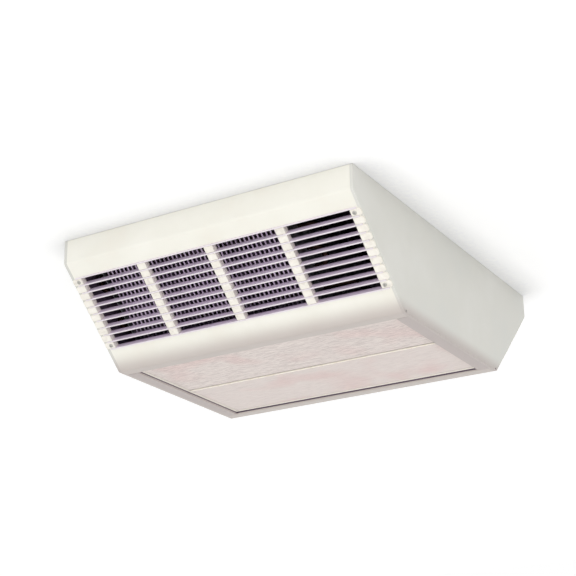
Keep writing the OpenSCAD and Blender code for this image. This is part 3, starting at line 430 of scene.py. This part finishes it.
def filterFibre(name, look, bumpiness, contrast):
    # Needled polyester filter mat: matt pinkish beige, with loose fibres combed along the slots and
    # felted tufts a few millimetres wide. Real fibres are 0.1 mm thick and are drawn as bundles.
    material, tree, surface, place = startMaterial(
        name, {"Roughness": 0.92, "IOR": 1.45, "Sheen Weight": 0.25, "Sheen Roughness": 0.6})
    sway = addNode(tree, "ShaderNodeTexNoise", {"Scale": perMm(look["swayMm"]), "Detail": 2.0},
                   {"Vector": (place, "Object")})
    bend = addNode(tree, "ShaderNodeVectorMath", {"operation": "MULTIPLY_ADD", 1: look["sway"]},
                   {0: (sway, "Color"), 2: (place, "Object")})
    comb = addNode(tree, "ShaderNodeMapping", {"Scale": (look["streak"], 1.0, 1.0)},
                   {"Vector": (bend, "Vector")})
    fibre = addNode(tree, "ShaderNodeTexNoise",
                    {"Scale": perMm(look["fibreMm"]), "Detail": 4.0, "Roughness": 0.62, "Distortion": 0.5},
                    {"Vector": (comb, "Vector")})
    tuft = addNode(tree, "ShaderNodeTexNoise",
                   {"Scale": perMm(look["tuftMm"]), "Detail": 3.0, "Roughness": 0.6, "Distortion": 0.8},
                   {"Vector": (comb, "Vector")})
    blend = addNode(tree, "ShaderNodeMix", {"data_type": "FLOAT", "Factor": look["tuftShare"]},
                    {"A": (fibre, "Fac"), "B": (tuft, "Fac")})
    ramp = addNode(tree, "ShaderNodeValToRGB",
                   {"stops": [(0.5 - look["shadeSpan"] / contrast, look["shade"]), (0.5, look["body"]),
                              (0.5 + look["lightSpan"] / contrast, look["light"])]},
                   {"Fac": (blend, "Result")})
    blotch = addNode(tree, "ShaderNodeTexNoise",
                     {"Scale": perMm(look["blushMm"]), "Detail": 1.5}, {"Vector": (place, "Object")})
    spread = addNode(tree, "ShaderNodeMapRange",
                     {"From Min": look["blushSpan"][0], "From Max": look["blushSpan"][1],
                      "To Max": look["blushMost"]},
                     {"Value": (blotch, "Fac")})
    tint = addNode(tree, "ShaderNodeMix",
                   {"data_type": "RGBA", "blend_type": "MULTIPLY", "B": hexToLinear(look["blush"])},
                   {"Factor": (spread, "Result"), "A": (ramp, "Color")})
    bump = addNode(tree, "ShaderNodeBump", {"Strength": bumpiness, "Distance": look["pileMm"] / 1000},
                   {"Height": (blend, "Result")})
    link(tree, tint, "Result", surface, "Base Color")
    link(tree, bump, "Normal", surface, "Normal")
    return material


materials = {
    "ivory_paint": powderCoat("ivoryPowderCoat", ivoryCoat),
    "grey_paint": powderCoat("greyPowderCoat", greyCoat),
    "box_paint": powderCoat("boxPowderCoat", boxCoat),
    "zinc_sheet": galvanisedSteel("galvanisedSheet", zincSheet),
    "grille_blade": anodisedBlade("anodisedBlade", bladeCoat),
    "spacer_plastic": mouldedPlastic("spacerAbs", spacerLook),
    "screw_steel": metalFinish("nickelPlatedSteel", brushedMetals["nickelScrew"]),
    "fin_aluminium": metalFinish("finAluminium", brushedMetals["finAluminium"]),
    "copper": metalFinish("drawnCopper", brushedMetals["copperTube"]),
    "brass": metalFinish("turnedBrass", brushedMetals["valveBrass"]),
    "motor_alloy": metalFinish("castAlloy", brushedMetals["motorAlloy"]),
    "wire_zinc": metalFinish("zincWire", brushedMetals["wireZinc"]),
    "wheel_steel": mouldedPlastic("wheelEnamel", wheelLook),
    "lever_coat": mouldedPlastic("leverVinyl", leverLook),
    "rubber": mouldedPlastic("grommetRubber", rubberLook),
    "dark_plastic": mouldedPlastic("terminalNylon", terminalLook),
    "white_plastic": mouldedPlastic("glandNylon", nylonLook),
}

# painted shade: the side rails round the door get a darker copy of the grey coat, standing in for the shade
# on them
railShadedCoat = {**greyCoat, "light": "#D0CCCB", "mid": "#C8C4C3", "warm": "#C3BFBE"}
# painted light: the door frame gets a lighter copy of the ivory coat so its downward faces and bar read
# bright, without the painted shade lining
doorLitCoat = {**ivoryCoat, "light": "#FFFBF2", "mid": "#FCF7EC", "warm": "#F8F3E8", "paintedShadeLining": False}
ownFinish = {
    "side_rails": powderCoat("railShadedPowderCoat", railShadedCoat),
    "door_frame": powderCoat("doorLitPowderCoat", doorLitCoat),
    # painted shade on the tray's inward faces
    "ceiling_tray": galvanisedSteel("shadeLinedTraySheet", zincSheet, True),
}

nodeSlots = {s["node"]: s["material_slot"] for s in frame["record"]["subparts"]}
for nodeName, item in frame["nodes"].items():
    slotName = nodeSlots[nodeName]
    if slotName in materials:
        item.data.materials.clear()
        item.data.materials.append(ownFinish.get(nodeName, materials[slotName]))
print("finishes assigned:", len(materials))


# Filter mats, which stand for the plain filter blocks

filterPads = {
    "front_filter": {"bumpiness": 1.0, "liftMm": 0.7, "seed": 3.0, "contrast": 1.3},
    "rear_filter": {"bumpiness": 0.4, "liftMm": 0.35, "seed": 11.0, "contrast": 0.4},
}
padShape = {
    "stepMm": 4, "rimMm": 1.2,                       # between points, and how far the rims round over
    "wavesPerMetre": (26, 95), "waveShare": 0.35,    # broad swells of the felt, along x and y
    "fluffPerMetre": (90, 300), "fluffShare": 0.25,  # and the fine unevenness on them
}


def filterMat(nodeName, look):
    # A soft slab: both faces undulate and its rims round over
    low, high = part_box(nodeName)
    size = high - low
    step, rimWidth = padShape["stepMm"] / 1000, padShape["rimMm"] / 1000
    columns, rows = round(size.x / step), round(size.y / step)
    build = bmesh.new()

    def swell(x, y, perMetre, depth):
        return noise.noise(Vector((x * perMetre[0], y * perMetre[1], depth)))

    def heightAt(x, y, side):
        edge = min(x - low.x, high.x - x, y - low.y, high.y - y)
        rim = min(1.0, edge / rimWidth)
        inset = rimWidth * (1 - math.sqrt(max(0.0, 1 - (1 - rim) ** 2)))
        wave = (0.5 + padShape["waveShare"] * swell(x, y, padShape["wavesPerMetre"], look["seed"] + side * 5)
                + padShape["fluffShare"] * swell(x, y, padShape["fluffPerMetre"], look["seed"] - side * 7))
        return inset + look["liftMm"] / 1000 * wave * rim

    grids = []
    for side in (0, 1):
        grid = []
        for j in range(rows + 1):
            line = []
            for i in range(columns + 1):
                x = low.x + size.x * i / columns
                y = low.y + size.y * j / rows
                drop = heightAt(x, y, side)
                z = low.z + drop if side == 0 else high.z - drop
                line.append(build.verts.new((x, y, z)))
            grid.append(line)
        for j in range(rows):
            for i in range(columns):
                corners = [grid[j][i], grid[j][i + 1], grid[j + 1][i + 1], grid[j + 1][i]]
                build.faces.new(corners if side else corners[::-1])
        grids.append(grid)
    under, over = grids
    rim = ([(0, i) for i in range(columns)] + [(j, columns) for j in range(rows)]
           + [(rows, i) for i in range(columns, 0, -1)] + [(j, 0) for j in range(rows, 0, -1)])
    for k, (j, i) in enumerate(rim):
        nextRow, nextColumn = rim[(k + 1) % len(rim)]
        build.faces.new([under[j][i], under[nextRow][nextColumn],
                         over[nextRow][nextColumn], over[j][i]])
    mesh = bpy.data.meshes.new(nodeName + "_mat")
    build.to_mesh(mesh)
    build.free()
    for polygon in mesh.polygons:
        polygon.use_smooth = True
    mat = bpy.data.objects.new(nodeName + "_mat", mesh)
    bpy.context.scene.collection.objects.link(mat)
    mesh.materials.append(
        filterFibre(nodeName + "Polyester", filterLook, look["bumpiness"], look["contrast"]))
    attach(mat, "inlet_door")
    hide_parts(nodeName)
    return mat


for nodeName, look in filterPads.items():
    filterMat(nodeName, look)
print("filter mats laid in the door")


beadLook = {**spacerLook, "dark": "#F6ECDC", "mid": "#FBF3E6", "light": "#FFF9EE"}
padBead = {"width": 0.0065, "depth": 0.0022, "bedded": 0.0008, "steps": 10, "rings": 40, "endGap": 0.002}


def filterBead(look):
    # The pale clip strip that covers the joint between the mats: half round, pressed over the door's bar
    doorLow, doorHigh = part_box("door_frame")
    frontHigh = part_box("front_filter")[1]
    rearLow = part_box("rear_filter")[0]
    middle = (frontHigh.y + rearLow.y) / 2
    base = doorLow.z + look["bedded"]
    left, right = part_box("front_filter")[0].x + look["endGap"], frontHigh.x - look["endGap"]
    build = bmesh.new()
    rings = []
    for j in range(look["rings"] + 1):
        x = left + (right - left) * j / look["rings"]
        turns = [math.pi * i / look["steps"] for i in range(look["steps"] + 1)]
        rings.append([build.verts.new((x, middle - look["width"] / 2 * math.cos(a),
                                       base - look["depth"] * math.sin(a))) for a in turns])
    for a, b in zip(rings, rings[1:]):
        for i in range(len(a)):
            n = (i + 1) % len(a)
            build.faces.new([a[i], a[n], b[n], b[i]])
    build.faces.new(rings[0][::-1])
    build.faces.new(rings[-1])
    bmesh.ops.recalc_face_normals(build, faces=build.faces)
    mesh = bpy.data.meshes.new("filter_bead")
    build.to_mesh(mesh)
    build.free()
    for polygon in mesh.polygons:
        polygon.use_smooth = len(polygon.vertices) == 4 and abs(polygon.normal.z) < 0.999
    bead = bpy.data.objects.new("filter_bead", mesh)
    bpy.context.scene.collection.objects.link(bead)
    mesh.materials.append(mouldedPlastic("beadAbs", beadLook))
    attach(bead, "inlet_door")
    return bead


filterBead(padBead)
print("bead fitted between the mats")


# Camera at the photograph's viewing angle

cameraView = {
    "place": (1.6577, -2.8712, -1.3293),
    "azimuth": 30.846, "lookUp": 21.139, "roll": -0.784, "lens": 86.28, "sensor": 36,
}


def placeCamera(look):
    azimuth, lookUp, roll = (math.radians(look[k]) for k in ("azimuth", "lookUp", "roll"))
    forward = Vector((-math.sin(azimuth) * math.cos(lookUp),
                      math.cos(azimuth) * math.cos(lookUp), math.sin(lookUp)))
    level = Vector((math.cos(azimuth), math.sin(azimuth), 0))
    right = level * math.cos(roll) + level.cross(forward) * math.sin(roll)
    up = right.cross(forward)
    data = bpy.data.cameras.new("photoCamera")
    data.lens = look["lens"]
    data.sensor_width = look["sensor"]
    camera = bpy.data.objects.new("photoCamera", data)
    bpy.context.scene.collection.objects.link(camera)
    turn = Matrix((right, up, -forward)).transposed().to_4x4()
    camera.matrix_world = Matrix.Translation(Vector(look["place"])) @ turn
    bpy.context.scene.camera = camera


placeCamera(cameraView)
print("camera placed")


# Ceiling, floor and light

room = {
    "ceiling": "#F4F4F6", "floor": "#F2F2F0", "stipple": "#FAFAF9", "stippleMm": 12,
    "size": 9.0, "floorDrop": 3.8,
    "ceilingLift": 0.0006, "whiteBoost": 0.2, "worldStrength": 0.97,
    "shadeReach": 0.1, "shadeFloor": 0.72,    # how far the corner shade reaches, and its darkest share
    "panelLap": 0.003,                        # the ceiling laps this far over the casing's edge
}


def stagePlate(name, height, flip, opening=None):
    # a square plate, or a frame of four faces where it has an opening
    build = bmesh.new()
    half = room["size"] / 2
    turns = ((-1, -1), (1, -1), (1, 1), (-1, 1))
    outer = [build.verts.new((x * half, y * half, height)) for x, y in turns]
    if opening:
        inner = [build.verts.new((x * opening[0], y * opening[1], height)) for x, y in turns]
        rings = [[outer[i], outer[(i + 1) % 4], inner[(i + 1) % 4], inner[i]] for i in range(4)]
    else:
        rings = [outer]
    for corners in rings:
        build.faces.new(corners[::-1] if flip else corners)
    mesh = bpy.data.meshes.new(name)
    build.to_mesh(mesh)
    build.free()
    plate = bpy.data.objects.new(name, mesh)
    bpy.context.scene.collection.objects.link(plate)
    return plate


def roomPaint(name, hexText):
    # Matt emulsion. Camera rays get a little extra so that the far ceiling reads white and the shadow
    # under the heater stays. From behind, the plate is clear.
    material = bpy.data.materials.new(name)
    material.use_nodes = True
    tree = material.node_tree
    surface = tree.nodes["Principled BSDF"]
    surface.inputs["Roughness"].default_value = 1.0
    surface.inputs["Specular IOR Level"].default_value = 0.0
    place = addNode(tree, "ShaderNodeTexCoord")
    stipple = addNode(tree, "ShaderNodeTexNoise", {"Scale": perMm(room["stippleMm"]), "Detail": 2.0},
                      {"Vector": (place, "Object")})
    ramp = addNode(tree, "ShaderNodeValToRGB",
                   {"stops": [(0.3, hexText), (0.7, room["stipple"])]},
                   {"Fac": (stipple, "Fac")})
    # the corner between ceiling and casing gathers a soft shade
    corner = addNode(tree, "ShaderNodeAmbientOcclusion", {"Distance": room["shadeReach"], "samples": 12})
    shade = addNode(tree, "ShaderNodeMapRange",
                    {"From Min": 0.5, "From Max": 1.0, "To Min": room["shadeFloor"], "To Max": 1.0},
                    {"Value": (corner, "AO")})
    shaded = addNode(tree, "ShaderNodeVectorMath", {"operation": "SCALE"},
                     {0: (ramp, "Color"), "Scale": (shade, "Result")})
    link(tree, shaded, "Vector", surface, "Base Color")
    rays = addNode(tree, "ShaderNodeLightPath")
    lift = addNode(tree, "ShaderNodeMath", {"operation": "MULTIPLY", 1: room["whiteBoost"]},
                   {0: (shade, "Result")})
    glow = addNode(tree, "ShaderNodeEmission", {"Color": (1, 1, 1, 1)}, {"Strength": (lift, "Value")})
    dark = addNode(tree, "ShaderNodeEmission", {"Color": (0, 0, 0, 1), "Strength": 0.0})
    picked = addNode(tree, "ShaderNodeMixShader",
                     links={"Fac": (rays, "Is Camera Ray"), 1: (dark, "Emission"), 2: (glow, "Emission")})
    both = addNode(tree, "ShaderNodeAddShader", links={0: (surface, "BSDF"), 1: (picked, "Shader")})
    shape = addNode(tree, "ShaderNodeNewGeometry")
    clear = addNode(tree, "ShaderNodeBsdfTransparent")
    sides = addNode(tree, "ShaderNodeMixShader",
                    links={"Fac": (shape, "Backfacing"), 1: (both, "Shader"), 2: (clear, "BSDF")})
    link(tree, sides, "Shader", tree.nodes["Material Output"], "Surface")
    return material


ceiling = stagePlate("ceiling", room["ceilingLift"], True,
                     (cadBox[1].x - room["panelLap"], cadBox[1].y - room["panelLap"]))
ceiling.data.materials.append(roomPaint("ceilingEmulsion", room["ceiling"]))
floor = stagePlate("floor", -room["floorDrop"], False)
floor.data.materials.append(roomPaint("floorPaint", room["floor"]))


def softWorld(strength):
    # Even white room light; the background itself is plain white
    world = bpy.data.worlds.new("softRoom")
    bpy.context.scene.world = world
    world.use_nodes = True
    tree = world.node_tree
    back = tree.nodes["Background"]
    back.inputs["Color"].default_value = (1, 1, 1, 1)
    back.inputs["Strength"].default_value = strength
    seen = addNode(tree, "ShaderNodeBackground", {"Color": (1, 1, 1, 1), "Strength": 1.0})
    rays = addNode(tree, "ShaderNodeLightPath")
    sharp = addNode(tree, "ShaderNodeMath", {"operation": "MAXIMUM"},
                    {0: (rays, "Is Glossy Ray"), 1: (rays, "Is Transmission Ray")})
    both = addNode(tree, "ShaderNodeMath", {"operation": "MAXIMUM"},
                   {0: (sharp, "Value"), 1: (rays, "Is Camera Ray")})
    mix = addNode(tree, "ShaderNodeMixShader",
                  links={"Fac": (both, "Value"), 1: (back, "Background"), 2: (seen, "Background")})
    link(tree, mix, "Shader", tree.nodes["World Output"], "Surface")


softWorld(room["worldStrength"])

lamps = {
    "frontSoftbox": {"place": (1.3, -2.9, -0.45), "aim": (0.1, -0.2, -0.15), "size": 1.8, "watts": 18},
    "underSoftbox": {"place": (0.6, -0.6, -3.2), "aim": (0, 0, -0.2), "size": 2.4, "watts": 4},
}
for lampName, look in lamps.items():
    data = bpy.data.lights.new(lampName, "AREA")
    data.shape = "SQUARE"
    data.size = look["size"]
    data.energy = look["watts"]
    lamp = bpy.data.objects.new(lampName, data)
    lamp.location = look["place"]
    lamp.rotation_mode = "QUATERNION"
    lamp.rotation_quaternion = (Vector(look["aim"]) - Vector(look["place"])).to_track_quat("-Z", "Y")
    bpy.context.scene.collection.objects.link(lamp)

bpy.context.scene.view_settings.view_transform = "Standard"
print("room and light ready")
